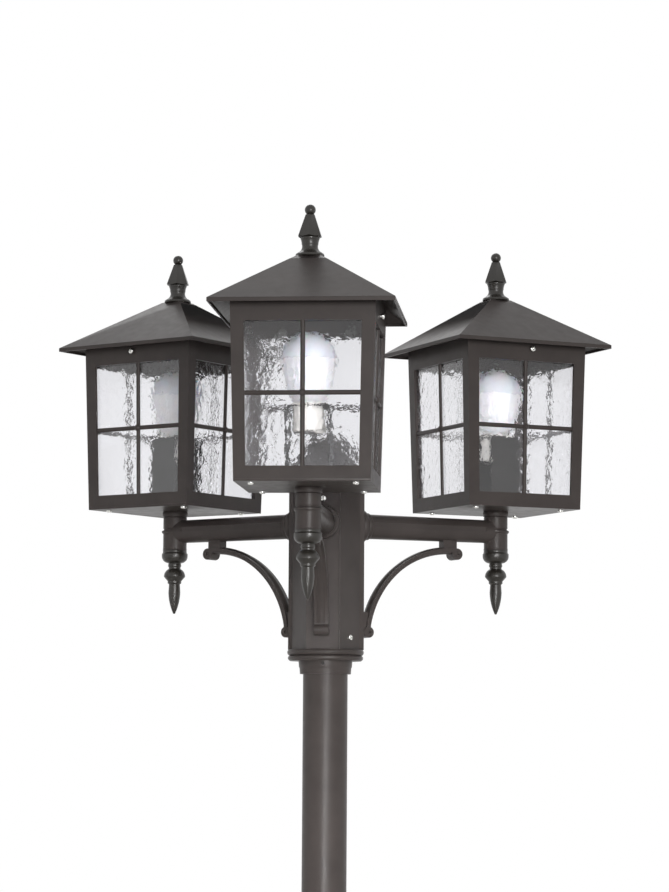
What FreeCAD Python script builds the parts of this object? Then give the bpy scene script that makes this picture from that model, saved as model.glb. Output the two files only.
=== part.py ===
"""Triple-head garden lamp post: three square lanterns on arms round a hexagonal column head.

All lengths are in millimetres. +Z is up, the ground is z = 0 and the post stands on the Z axis.
The first arm points to -Y; the other two follow every 120 degrees. Each arm's pieces are drawn
once, on the -Y arm, and turned about the post for the other two.
"""
import FreeCAD, Part
import math
import os
from FreeCAD import Vector

# ---- driving dimensions -------------------------------------------------------------------
ARM_HEIGHT = 1800.0        # ground to the arms' centre line
ARM_REACH = 258.2          # post axis to lantern axis
ARM_NAMES = {"front": 0.0, "right": 120.0, "left": -120.0}   # turn of each arm about the post
FIT = 0.3                  # clearance between pieces that slide or turn past each other
SEAT = 0.1                 # clearance between round faces that bear on each other

# post
POST_R = 30.0
POST_WALL = 2.5

# column head: a hexagonal casting with a raised pad behind each arm
COLUMN_FLAT = 39.2         # axis to the plain faces
COLUMN_WALL = 4.0
PAD_FACE = 46.2            # axis to the raised pads
PAD_HALF = 22.2
COLUMN_BELOW = 168.0       # arm axis down to the column's foot
TERMINAL_DROP = 105.0      # arm axis down to the foot of the terminal block
COLUMN_ABOVE = 78.0        # arm axis up to the column's top
CAP_PLATE = 5.0
CAP_DOME_R = 42.0
CAP_DOME_H = 41.0
CAP_WALL = 4.0
CAP_SKIRT = 54.0
CAP_SKIRT_WALL = 3.0
CAP_SCREW_DROP = 46.0      # column top down to the cap's screws
FOOT_SCREW_RISE = 16.0     # column foot up to its screws

# collar between post and column
COLLAR_RING_R = 51.4
COLLAR_RING_H = 7.4
COLLAR_LOWER_R = 50.4
COLLAR_LOWER_H = 7.6
COLLAR_SLEEVE_R = 36.2
COLLAR_SLEEVE_END_R = 34.2
COLLAR_SLEEVE_H = 17.4
COLLAR_STEP_H = 8.0
COLLAR_SPIGOT_H = 28.0
COLLAR_LIP = 5.0           # how far the collar's stop reaches in over the post's end
POST_SOCKET = 28.0         # length of post inside the collar

# arm: a tapered tube with an upright barrel at its end
ARM_ROOT_R = 16.8
ARM_TIP_R = 15.8
ARM_BORE_R = 10.0
ARM_SPIGOT_R = 12.0
ARM_CHANNEL_H = 6.0
ARM_CHANNEL_DEPTH = 0.9
BARREL_R = 16.4
BARREL_RISE = 28.5         # arm axis up to the lantern's underside
BARREL_DROP = 25.5         # arm axis down to the barrel's foot
BARREL_RING_R = 18.4
BARREL_HEAD_R = 17.6
BARREL_HEAD_H = 7.5
GROOVE = 1.2
ROSETTE_R = 21.8
ROSETTE_H = 12.0
ROSETTE_RING_R = 18.4
ROSETTE_RING_H = 4.5
NUT_H = 5.0
ARM_NUT_R = 17.0
NIPPLE_R = 5.0
NIPPLE_BORE_R = 3.4
NIPPLE_LENGTH = 38.0
STEM_NUT_R = 9.2

# drop finial under the barrel, heights below the arm axis
DROP_FLANGE_R = 18.0
DROP_FLANGE_END = 33.0
DROP_NECK_R = 8.2
DROP_NECK_START = 43.5
DROP_NECK_END = 51.5
DROP_BELL_R = 14.8
DROP_BELL_Z = 62.5
DROP_SPEAR_START = 73.0
DROP_SPEAR_R = 8.3
DROP_SPEAR_Z = 84.0
DROP_TIP = 114.0
DROP_TIP_R = 1.2
DROP_SPIGOT_H = 12.0

# scroll bracket under each arm
STRAP_W = 19.0
STRAP_EDGE_T = 6.0
STRAP_BEAD_W = 11.0
STRAP_BEAD_H = 2.0
STRAP_R = 128.0            # radius of the strap's centre line
STRAP_CENTRE_OUT = 186.0   # post axis to the centre of that arc
STRAP_TOP_DROP = 28.5      # arm axis down to the strap's centre line at its top
STRAP_SWEEP = 80.0
SCROLL_TOP_R = 7.8
SCROLL_TOP_OUT = 8.0       # beyond the arc's centre
SCROLL_FOOT_R = 7.4
SCROLL_FOOT_DROP = 9.0     # below the strap's lower end
SCROLL_EYE_R = 2.4
SCROLL_EYE_DEPTH = 2.0
LUG_LENGTH = 20.0
LUG_W = 15.0
FOOT_LENGTH = 26.0

# lantern
HALF_BOTTOM = 85.6         # lantern axis to the frame's outer face at its foot
HALF_TOP = 91.1            # and at its top
BODY_H = 225.5             # underside of the tray to the top of the frame
FRAME_T = 4.0
TRAY_T = 3.0
WINDOW_LOW = 19.1          # underside of the tray up to the glass opening
TOP_RAIL = 25.4            # top of the frame down to the glass opening
WINDOW_HIGH = BODY_H - TOP_RAIL
WINDOW_HALF_LOW = 70.8
WINDOW_HALF_HIGH = 73.7
MUNTIN_RISE = 110.2        # underside of the tray up to the cross bar's centre
MUNTIN_R = 3.0
BOSS_R = 4.6
BOSS_H = 2.8
GLASS_T = 3.0
GLASS_LAP = 5.0
CLIP_T = 1.0
CLIP_W = 12.0
CLIP_FOOT = 8.0
CLIP_TONGUE = 4.0
CLIP_SPREAD = 45.0         # middle of the pane out to its upper clips
BLOCK_INSET = 20.0         # frame's outer face in to the tray's screws
BLOCK_REACH = 6.0          # tray's screws in to the corner blocks' inner faces
BLOCK_H = 8.0

# roof
EAVE_HALF = 117.2
EAVE_LIP = 5.0
ROOF_RISE = 68.6
ROOF_TOP_HALF = 15.5
ROOF_WALL = 2.5
TAB_W = 20.0
TAB_T = 2.5
TAB_DROP = 18.0
ROOF_SCREW_DROP = 9.0      # frame's top down to the roof's screws
ROOF_SCREW_OUT = 7.0       # middle of the side to the roof's screw, away from the post
ROOF_WASHER_R = 3.2
ROOF_WASHER_H = 2.5

# roof finial, heights above the roof's top
FINIAL_FLANGE_R = 18.7
FINIAL_FLANGE_H = 4.4
FINIAL_NECK_R = 10.8
FINIAL_NECK_Z = 16.5
FINIAL_CORE_R = 12.4
FINIAL_CORE_Z = 23.5
FINIAL_CONE_Z = 28.5
FINIAL_CONE_HALF = 15.1    # half width over the hexagon's opposite corners, seen ridge on
FINIAL_CONE_TOP_Z = 54.5
FINIAL_CONE_TOP_HALF = 5.6
FINIAL_BALL_R = 7.0
FINIAL_BALL_Z = 60.7
STUD_R = 3.0
STUD_LENGTH = 9.0
FINIAL_NUT_R = 5.8
FINIAL_NUT_H = 4.0

# lamp, heights above the lantern's underside
BRACKET_TOP = 102.5
BRACKET_T = 1.5
BRACKET_W = 44.0
BRACKET_HALF = 28.0
BRACKET_FOOT = 14.0
HOLDER_R = 21.0
HOLDER_LOW = 68.5
HOLDER_FLANGE_R = 25.0
HOLDER_FLANGE_H = 2.5
CAP_R = 13.1
CAP_LENGTH = 27.0
BULB_R = 36.0
BULB_SEAM = 161.5          # where the domed cover meets the housing
BULB_FOOT_R = 27.0
BULB_FOOT_Z = 113.0
BULB_NECK_R = 17.0

# fasteners
SCREW_R = 2.0
SCREW_HEAD_R = 4.0
SCREW_HEAD_H = 3.0
SET_SCREW_R = 2.5

# post base
BASE_R = 120.0
BASE_RIM = 26.0            # solid rim that stands on the ground, beside the two walls
BASE_EDGE_H = 12.0
ANCHOR_PCD_R = 96.0
ANCHOR_HOLE_R = 6.0
BASE_BELL_R = 76.0
BASE_STEP_H = 24.0
BASE_NECK_R = 40.0
BASE_NECK_Z = 96.0
BASE_TOP_Z = 118.0
BASE_WALL = 5.0
BASE_RING_R = 43.5
BASE_SET_Z = 112.0
POST_FOOT = 12.0           # ground up to the post's lower end

# ---- places worked out from the dimensions --------------------------------------------------
X, Y, Z = Vector(1, 0, 0), Vector(0, 1, 0), Vector(0, 0, 1)
COLUMN_FOOT = ARM_HEIGHT - COLUMN_BELOW
COLUMN_TOP = ARM_HEIGHT + COLUMN_ABOVE
CAVITY_FLAT = COLUMN_FLAT - COLUMN_WALL
SPIGOT_R = CAVITY_FLAT - FIT
UNDERSIDE = ARM_HEIGHT + BARREL_RISE
FRAME_FOOT = UNDERSIDE + TRAY_T
FRAME_TOP = UNDERSIDE + BODY_H
ROOF_TOP = FRAME_TOP + ROOF_RISE
LANTERN = Vector(0, -ARM_REACH, 0)
POST_TOP = COLUMN_FOOT - COLLAR_RING_H - COLLAR_LOWER_H - COLLAR_SLEEVE_H + POST_SOCKET
POST_BORE_R = POST_R + SEAT


# ---- drawing helpers -------------------------------------------------------------------------
def cylinder(radius, low, high, centre=Vector(0, 0, 0)):
    """An upright cylinder between two heights."""
    return Part.makeCylinder(radius, high - low, Vector(centre.x, centre.y, low), Z)


def rod(radius, start, end):
    """A cylinder from one point to another."""
    return Part.makeCylinder(radius, (end - start).Length, start, end - start)


def box(low, high):
    """A box between two corners."""
    size = high - low
    return Part.makeBox(size.x, size.y, size.z, low)


def arc(start, middle, end):
    return Part.Arc(Vector(*start), Vector(*middle), Vector(*end)).toShape()


def line(start, end):
    return Part.LineSegment(Vector(*start), Vector(*end)).toShape()


def turned(steps, centre=Vector(0, 0, 0), base=0.0):
    """Revolve an outline about an upright axis.

    steps lists (radius, height) points; a step of three numbers is (radius, height, bulge), an
    arc from the last point that bows by bulge to the left of its direction of travel.
    """
    edges = []
    last = steps[0][:2]
    for step in steps[1:]:
        here = step[:2]
        start, end = (last[0], 0, last[1]), (here[0], 0, here[1])
        if len(step) == 3:
            run, rise = here[0] - last[0], here[1] - last[1]
            length = math.hypot(run, rise)
            middle = ((last[0] + here[0]) / 2 - rise / length * step[2], 0,
                      (last[1] + here[1]) / 2 + run / length * step[2])
            edges.append(arc(start, middle, end))
        else:
            edges.append(line(start, end))
        last = here
    edges.append(line((last[0], 0, last[1]), (steps[0][0], 0, steps[0][1])))
    solid = Part.Face(Part.Wire(edges)).revolve(Vector(0, 0, 0), Z, 360)
    solid.translate(Vector(centre.x, centre.y, base))
    return solid


def polygon(points, height):
    """A flat shape of (x, y) points at one height."""
    corners = [Vector(x, y, height) for x, y in points]
    return Part.makePolygon(corners + corners[:1])


def square(half, height, centre=LANTERN):
    return polygon([(centre.x + sx * half, centre.y + sy * half)
                    for sx, sy in ((-1, -1), (1, -1), (1, 1), (-1, 1))], height)


def ngon(sides, corner_r, height, centre=Vector(0, 0, 0), first=-90.0):
    """A regular polygon whose first corner lies in the direction first."""
    angles = [math.radians(first + 360.0 * i / sides) for i in range(sides)]
    return polygon([(centre.x + corner_r * math.cos(a), centre.y + corner_r * math.sin(a))
                    for a in angles], height)


def tapered(low, high):
    """A solid with flat sides between two polygons of as many corners."""
    below, above = low.OrderedVertexes, high.OrderedVertexes
    count = len(below)
    faces = [Part.Face(low), Part.Face(high)]
    for i in range(count):
        j = (i + 1) % count
        corners = [below[i].Point, below[j].Point, above[j].Point, above[i].Point]
        faces.append(Part.Face(Part.makePolygon(corners + corners[:1])))
    solid = Part.makeSolid(Part.makeShell(faces))
    return solid.reversed() if solid.Volume < 0 else solid


def prism(wire, height):
    return Part.Face(wire).extrude(Vector(0, 0, height))


def fuse(solids):
    body = solids[0]
    for other in solids[1:]:
        body = body.fuse(other)
    return body.removeSplitter()


def around(solid, count=3, first=0.0):
    """Copies of a solid spaced evenly about the post."""
    copies = []
    for i in range(count):
        copy = solid.copy()
        copy.rotate(Vector(0, 0, 0), Z, first + 360.0 * i / count)
        copies.append(copy)
    return copies


def about_lantern(solid, angle):
    """A copy turned about the lantern's own axis."""
    copy = solid.copy()
    copy.rotate(LANTERN, Z, angle)
    return copy


def pan_screw(seat, into, length):
    """A pan-head screw: seat is the point under its head, into is the way it is driven."""
    shank = rod(SCREW_R, seat, seat + into * length)
    edge = rod(SCREW_HEAD_R, seat, seat - into * (SCREW_HEAD_H / 2))
    crown = Part.makeCone(SCREW_HEAD_R, SCREW_HEAD_R * 0.6, SCREW_HEAD_H / 2,
                          seat - into * (SCREW_HEAD_H / 2), -into)
    return shank.fuse(edge).fuse(crown).removeSplitter()


def hex_nut(corner_r, bore_r, low, height, centre):
    blank = prism(ngon(6, corner_r, low, centre), height)
    return blank.cut(cylinder(bore_r, low - 1, low + height + 1, centre))


# ---- post, column and collar ---------------------------------------------------------------------
def post_tube():
    return cylinder(POST_R, POST_FOOT, POST_TOP).cut(
        cylinder(POST_R - POST_WALL, POST_FOOT - 1, POST_TOP + 1))


def column_outline(low, high, grow=0.0):
    """The hexagon with its three pads, between two heights."""
    flat = COLUMN_FLAT + grow
    core = prism(ngon(6, flat / math.cos(math.pi / 6), low, first=-60.0), high - low)
    pad_half = PAD_HALF + grow
    pad = box(Vector(-pad_half, -PAD_FACE - grow, low), Vector(pad_half, 0, high))
    return fuse([core] + around(pad))


def cavity(low, high, flat):
    return prism(ngon(6, flat / math.cos(math.pi / 6), low, first=-60.0), high - low)


def foot_screw_seat():
    return Vector(0, COLUMN_FLAT, COLUMN_FOOT + FOOT_SCREW_RISE)


def at_foot_screws(solid):
    """Copies at the two plain faces that are screwed to the collar, behind and to the right."""
    behind, _, right = around(solid)
    return [behind, right]


def cap_screw_seat():
    return Vector(0, -PAD_FACE, COLUMN_TOP - CAP_SCREW_DROP)


def column():
    shell = column_outline(COLUMN_FOOT, COLUMN_TOP)
    shell = shell.cut(cavity(COLUMN_FOOT - 1, COLUMN_TOP + 1, CAVITY_FLAT))
    arm_hole = rod(ARM_SPIGOT_R + SEAT, Vector(0, 0, ARM_HEIGHT),
                   Vector(0, -PAD_FACE - 1, ARM_HEIGHT))
    screw_r = SCREW_R + SEAT
    cap_hole = rod(screw_r, Vector(0, 0, cap_screw_seat().z), cap_screw_seat() - Y)
    foot_hole = rod(screw_r, Vector(0, 0, foot_screw_seat().z), foot_screw_seat() + Y)
    for hole in around(arm_hole) + around(cap_hole) + at_foot_screws(foot_hole):
        shell = shell.cut(hole)
    return shell


def dome(radius, height, base):
    """A solid dome over a flat foot, a little fuller than a cone and round at its top."""
    bulge = 0.2 * math.hypot(radius, height)
    return turned([(0, 0), (radius, 0), (0, height, -bulge)], base=base)


def column_cap():
    """A domed cap on a plate, with a skirt that reaches down inside the column."""
    plate = column_outline(COLUMN_TOP, COLUMN_TOP + CAP_PLATE, grow=2.0)
    crown = dome(CAP_DOME_R, CAP_DOME_H, COLUMN_TOP + CAP_PLATE)
    skirt_flat = CAVITY_FLAT - FIT
    skirt = cavity(COLUMN_TOP - CAP_SKIRT, COLUMN_TOP, skirt_flat).cut(
        cavity(COLUMN_TOP - CAP_SKIRT - 1, COLUMN_TOP, skirt_flat - CAP_SKIRT_WALL))
    cap = fuse([plate, crown, skirt])
    hollow_r = skirt_flat - CAP_SKIRT_WALL - 1
    cap = cap.cut(cylinder(hollow_r, COLUMN_TOP - 1, COLUMN_TOP + CAP_PLATE))
    cap = cap.cut(dome(hollow_r, CAP_DOME_H - 2 * CAP_WALL, COLUMN_TOP + CAP_PLATE))
    hole = rod(SCREW_R + SEAT, Vector(0, 0, cap_screw_seat().z), cap_screw_seat())
    for drilled in around(hole):
        cap = cap.cut(drilled)
    return cap


def column_screws():
    """Three screws hold the cap and two hold the column on the collar's spigot."""
    cap_reach = PAD_FACE - CAVITY_FLAT + FIT + CAP_SKIRT_WALL
    foot_reach = COLUMN_WALL + COLLAR_LIP
    return Part.makeCompound(around(pan_screw(cap_screw_seat(), Y, cap_reach))
                             + at_foot_screws(pan_screw(foot_screw_seat(), -Y, foot_reach)))


def collar():
    ring_foot = COLUMN_FOOT - COLLAR_RING_H
    lower_foot = ring_foot - COLLAR_LOWER_H
    step = lower_foot - COLLAR_STEP_H
    foot = lower_foot - COLLAR_SLEEVE_H
    body = turned([
        (POST_BORE_R, foot), (COLLAR_SLEEVE_END_R, foot), (COLLAR_SLEEVE_END_R + 0.6, step - GROOVE),
        (COLLAR_SLEEVE_R - 0.6, step), (COLLAR_SLEEVE_R, lower_foot + 0.8),
        (COLLAR_LOWER_R - 2.4, lower_foot), (COLLAR_LOWER_R, lower_foot + 2.4),
        (COLLAR_LOWER_R, ring_foot - 2.4), (COLLAR_LOWER_R - 2.4, ring_foot),
        (COLLAR_RING_R - 2.0, ring_foot), (COLLAR_RING_R - 2.0, COLUMN_FOOT, -2.0),
        (SPIGOT_R, COLUMN_FOOT), (SPIGOT_R, COLUMN_FOOT + COLLAR_SPIGOT_H),
        (POST_R - COLLAR_LIP, COLUMN_FOOT + COLLAR_SPIGOT_H), (POST_R - COLLAR_LIP, POST_TOP),
        (POST_BORE_R, POST_TOP)])
    screw = rod(SCREW_R + SEAT, Vector(0, 0, foot_screw_seat().z), foot_screw_seat())
    set_hole = rod(SET_SCREW_R + SEAT, Vector(0, 0, collar_set_z()),
                   Vector(0, -COLLAR_RING_R, collar_set_z()))
    for hole in at_foot_screws(screw) + around(set_hole):
        body = body.cut(hole)
    return body


def collar_set_z():
    """Height of the screws that clamp the collar on the post."""
    return COLUMN_FOOT - COLLAR_RING_H - COLLAR_LOWER_H - COLLAR_STEP_H / 2


def set_screws(tip, outer, height):
    """Three headless screws with a hexagon socket, standing a little proud."""
    body = rod(SET_SCREW_R, Vector(0, -tip, height), Vector(0, -outer, height))
    socket = prism(ngon(6, SET_SCREW_R * 0.6, 0), 2.0)
    socket.rotate(Vector(0, 0, 0), X, 90)
    socket.translate(Vector(0, -outer + 2.0, height))
    return Part.makeCompound(around(body.cut(socket)))


def terminal_block():
    """Ceramic connector strip on the back wall inside the column."""
    face = CAVITY_FLAT
    low = ARM_HEIGHT - TERMINAL_DROP
    block = box(Vector(-17, face - 14, low), Vector(17, face, low + 20))
    ports = [rod(2.6, Vector(x, face - 7, low - 1), Vector(x, face - 7, low + 21))
             for x in (-11, 0, 11)]
    for port in ports:
        block = block.cut(port)
    for x in (-5.5, 5.5):
        block = block.cut(box(Vector(x - 0.8, face - 15, low + 4), Vector(x + 0.8, face - 10, low + 16)))
    return block


# ---- base of the post ---------------------------------------------------------------------------------
def post_base():
    outer = [
        (0, 0), (BASE_R, 0), (BASE_R, BASE_EDGE_H - 3), (BASE_R - 3, BASE_EDGE_H),
        (BASE_BELL_R + 4, BASE_EDGE_H), (BASE_BELL_R, BASE_EDGE_H + 4),
        (BASE_BELL_R, BASE_STEP_H), (BASE_BELL_R - 5, BASE_STEP_H + 3),
        (BASE_NECK_R, BASE_NECK_Z, 11.0), (BASE_RING_R, BASE_NECK_Z + 2),
        (BASE_RING_R, BASE_NECK_Z + 8), (BASE_NECK_R, BASE_NECK_Z + 10),
        (BASE_NECK_R - 1.5, BASE_TOP_Z - 2), (BASE_NECK_R - 3.5, BASE_TOP_Z), (0, BASE_TOP_Z)]
    casting = turned(outer)
    hollow = turned([
        (0, -1), (BASE_R - 2 * BASE_WALL - BASE_RIM, -1), (BASE_BELL_R - 2 * BASE_WALL, BASE_STEP_H - 4),
        (POST_R + 2 * BASE_WALL, BASE_STEP_H + 20), (0, BASE_STEP_H + 20)])
    casting = casting.cut(hollow)
    socket = cylinder(POST_R + BASE_WALL, POST_FOOT - 6, BASE_STEP_H + 21)
    casting = casting.fuse(socket)
    for i in range(4):
        angle = math.radians(90 * i)
        web = box(Vector(POST_R, -2.5, 0), Vector(BASE_BELL_R, 2.5, BASE_STEP_H - 6))
        web.rotate(Vector(0, 0, 0), Z, 90 * i)
        casting = casting.fuse(web)
        spot = Vector(ANCHOR_PCD_R * math.cos(angle), ANCHOR_PCD_R * math.sin(angle), 0)
        casting = casting.cut(cylinder(ANCHOR_HOLE_R, -1, BASE_EDGE_H + 1, spot))
    casting = casting.cut(cylinder(POST_BORE_R, POST_FOOT, BASE_TOP_Z + 1))
    casting = casting.cut(cylinder(POST_R - COLLAR_LIP, -1, POST_FOOT + 1))
    hole = rod(SET_SCREW_R + SEAT, Vector(0, 0, BASE_SET_Z), Vector(0, -BASE_RING_R, BASE_SET_Z))
    for drilled in around(hole):
        casting = casting.cut(drilled)
    return casting.removeSplitter()


# ---- arm, rosette, drop finial -----------------------------------------------------------------------------
def arm():
    axis_z = ARM_HEIGHT
    root = PAD_FACE
    tube = Part.makeCone(ARM_ROOT_R, ARM_TIP_R, ARM_REACH - root, Vector(0, -root, axis_z), -Y)
    inner_end = CAVITY_FLAT - NUT_H - 2
    spigot = rod(ARM_SPIGOT_R, Vector(0, -inner_end, axis_z), Vector(0, -root - 1, axis_z))
    head = BARREL_RISE - BARREL_HEAD_H
    barrel = turned([
        (0, -BARREL_DROP), (BARREL_R + 0.4, -BARREL_DROP), (BARREL_R, -BARREL_DROP + 3),
        (BARREL_R, -2.8), (BARREL_RING_R, -1.0), (BARREL_RING_R, 1.0),
        (BARREL_R - 0.9, 2.6), (BARREL_R - 0.9, 2.6 + GROOVE), (BARREL_R, 3.6 + GROOVE),
        (BARREL_R, head - GROOVE), (BARREL_R - 1.0, head - GROOVE / 2), (BARREL_HEAD_R - 0.6, head),
        (BARREL_HEAD_R, head + 2), (BARREL_HEAD_R, BARREL_RISE - 2),
        (BARREL_R + 0.2, BARREL_RISE), (0, BARREL_RISE)], LANTERN, axis_z)
    body = fuse([tube, spigot, barrel])
    side = ARM_ROOT_R + ARM_TIP_R
    channel_z = axis_z + 2.0
    for sign in (-1, 1):
        inner = sign * (ARM_TIP_R - ARM_CHANNEL_DEPTH)
        outer = sign * side
        body = body.cut(box(
            Vector(min(inner, outer), -ARM_REACH + BARREL_R + 6, channel_z - ARM_CHANNEL_H / 2),
            Vector(max(inner, outer), -root - ROSETTE_H, channel_z + ARM_CHANNEL_H / 2)))
    bore = rod(ARM_BORE_R, Vector(0, 0, axis_z), Vector(0, -ARM_REACH, axis_z))
    well = cylinder(NIPPLE_R + FIT, axis_z - BARREL_DROP - 1, UNDERSIDE + 1, LANTERN)
    return body.cut(bore).cut(well)


def arm_rosette():
    """Turned escutcheon between the arm and its pad."""
    bore = ARM_ROOT_R + SEAT
    ring = turned([
        (bore, 0), (ROSETTE_R - 1.0, 0), (ROSETTE_R - 1.0, ROSETTE_H - 3.0, -2.0),
        (ROSETTE_RING_R, ROSETTE_H - 2.2), (ROSETTE_RING_R - 0.7, ROSETTE_H - 1.2),
        (ROSETTE_RING_R, ROSETTE_H), (ROSETTE_RING_R, ROSETTE_H + ROSETTE_RING_H - 1.5),
        (bore, ROSETTE_H + ROSETTE_RING_H)])
    ring.rotate(Vector(0, 0, 0), X, 90)
    ring.translate(Vector(0, -PAD_FACE, ARM_HEIGHT))
    return ring


def arm_nut():
    nut = hex_nut(ARM_NUT_R, ARM_SPIGOT_R + SEAT, 0, NUT_H, Vector(0, 0, 0))
    nut.rotate(Vector(0, 0, 0), X, -90)
    nut.translate(Vector(0, -CAVITY_FLAT, ARM_HEIGHT))
    return nut


def drop_finial():
    """Turned drop: flared flange, coved neck with a bead, bell with a sharp rim, and a spear."""
    neck = DROP_NECK_R
    bead_z = (DROP_NECK_START + DROP_NECK_END) / 2
    return turned([
        (0, DROP_SPIGOT_H - BARREL_DROP), (NIPPLE_R, DROP_SPIGOT_H - BARREL_DROP),
        (NIPPLE_R, -BARREL_DROP), (BARREL_R, -BARREL_DROP),
        (BARREL_R + 0.3, -BARREL_DROP - 2.0), (DROP_FLANGE_R, -DROP_FLANGE_END + 2.2, -0.5),
        (DROP_FLANGE_R, -DROP_FLANGE_END), (neck + 0.4, -DROP_NECK_START, 3.0),
        (neck + 0.9, -bead_z + 1.4), (neck + 0.9, -bead_z - 0.6), (neck, -bead_z - 1.6),
        (neck, -DROP_NECK_END), (DROP_BELL_R, -DROP_BELL_Z + 0.8, 1.7),
        (DROP_BELL_R, -DROP_BELL_Z), (DROP_SPEAR_R + 1.2, -DROP_SPEAR_START + 4.4),
        (DROP_SPEAR_R + 1.2, -DROP_SPEAR_START + 1.4), (DROP_SPEAR_R - 0.7, -DROP_SPEAR_START),
        (DROP_SPEAR_R, -DROP_SPEAR_Z), (DROP_TIP_R, -DROP_TIP, 1.6), (0, -DROP_TIP)],
        LANTERN, ARM_HEIGHT)


def stem_nipple():
    """Threaded tube that ties the lantern's tray to the arm's barrel."""
    top = FRAME_FOOT + NUT_H + 3.0
    tube = cylinder(NIPPLE_R, top - NIPPLE_LENGTH, top, LANTERN)
    return tube.cut(cylinder(NIPPLE_BORE_R, top - NIPPLE_LENGTH - 1, top + 1, LANTERN))


def stem_nut():
    return hex_nut(STEM_NUT_R, NIPPLE_R + SEAT, FRAME_FOOT, NUT_H, LANTERN)


# ---- scroll bracket --------------------------------------------------------------------------------------------
def scroll_bracket():
    centre = Vector(0, -STRAP_CENTRE_OUT, ARM_HEIGHT - STRAP_TOP_DROP - STRAP_R)
    half_w, half_bead = STRAP_W / 2, STRAP_BEAD_W / 2
    low, high = STRAP_R - STRAP_EDGE_T / 2, STRAP_R + STRAP_EDGE_T / 2

    def corner(x, radius):
        return (x, centre.y, centre.z + radius)

    section = Part.Wire([
        line(corner(-half_w, low), corner(-half_bead, low)),
        arc(corner(-half_bead, low), corner(0, low - STRAP_BEAD_H), corner(half_bead, low)),
        line(corner(half_bead, low), corner(half_w, low)),
        line(corner(half_w, low), corner(half_w, high)),
        line(corner(half_w, high), corner(half_bead, high)),
        arc(corner(half_bead, high), corner(0, high + STRAP_BEAD_H), corner(-half_bead, high)),
        line(corner(-half_bead, high), corner(-half_w, high)),
        line(corner(-half_w, high), corner(-half_w, low))])
    strap = Part.Face(section).revolve(centre, X, -STRAP_SWEEP)
    end_angle = math.radians(STRAP_SWEEP)
    foot_y = centre.y + STRAP_R * math.sin(end_angle)
    foot_z = centre.z + STRAP_R * math.cos(end_angle)
    top_eye = Vector(0, centre.y - SCROLL_TOP_OUT, centre.z + high - SCROLL_TOP_R)
    foot_eye = Vector(0, foot_y, foot_z - SCROLL_FOOT_DROP)
    pieces = [strap]
    cuts = []
    for eye, eye_r in ((top_eye, SCROLL_TOP_R), (foot_eye, SCROLL_FOOT_R)):
        pieces.append(rod(eye_r, eye - X * half_w, eye + X * half_w))
        for side in (-1, 1):
            face = eye + X * (side * half_w)
            cuts.append(rod(SCROLL_EYE_R, face - X * (side * SCROLL_EYE_DEPTH), face + X * side))
    pieces.append(box(Vector(-half_w, top_eye.y, centre.z + low),
                      Vector(half_w, centre.y, centre.z + high)))
    pieces.append(box(Vector(-half_w, foot_y - STRAP_EDGE_T / 2, foot_eye.z),
                      Vector(half_w, foot_y + STRAP_EDGE_T / 2, foot_z)))
    lug_y = centre.y + 2.0
    pieces.append(box(Vector(-LUG_W / 2, lug_y - LUG_LENGTH / 2, centre.z + STRAP_R),
                      Vector(LUG_W / 2, lug_y + LUG_LENGTH / 2, ARM_HEIGHT)))
    pieces.append(box(Vector(-LUG_W / 2, foot_y, foot_z - 8),
                      Vector(LUG_W / 2, -PAD_FACE, foot_z - 8 + FOOT_LENGTH)))
    body = fuse(pieces)
    for hollow in cuts:
        body = body.cut(hollow)
    clear = Part.makeCone(ARM_ROOT_R + SEAT, ARM_TIP_R + SEAT, ARM_REACH - PAD_FACE,
                          Vector(0, -PAD_FACE, ARM_HEIGHT), -Y)
    return body.cut(clear)


# ---- lantern body ------------------------------------------------------------------------------------------------
def lean():
    """The sides lean out by this many degrees."""
    return math.degrees(math.atan((HALF_TOP - HALF_BOTTOM) / (BODY_H - TRAY_T)))


def stand_up(panel):
    """Move a piece drawn on an upright side, outer face at y = 0, to the lantern's -Y side."""
    placed = panel.copy()
    placed.rotate(Vector(0, 0, 0), X, lean())
    placed.translate(Vector(0, -ARM_REACH - HALF_BOTTOM, FRAME_FOOT))
    return placed


def upright(outline, near, far):
    """A plate of (x, z) points between two depths behind the outer face."""
    corners = [Vector(x, near, z) for x, z in outline]
    return Part.Face(Part.makePolygon(corners + corners[:1])).extrude(Vector(0, far - near, 0))


def window(lap=0.0):
    low, high = WINDOW_LOW - TRAY_T - lap, WINDOW_HIGH - TRAY_T + lap
    return [(-WINDOW_HALF_LOW - lap, low), (WINDOW_HALF_LOW + lap, low),
            (WINDOW_HALF_HIGH + lap, high), (-WINDOW_HALF_HIGH - lap, high)]


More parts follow.
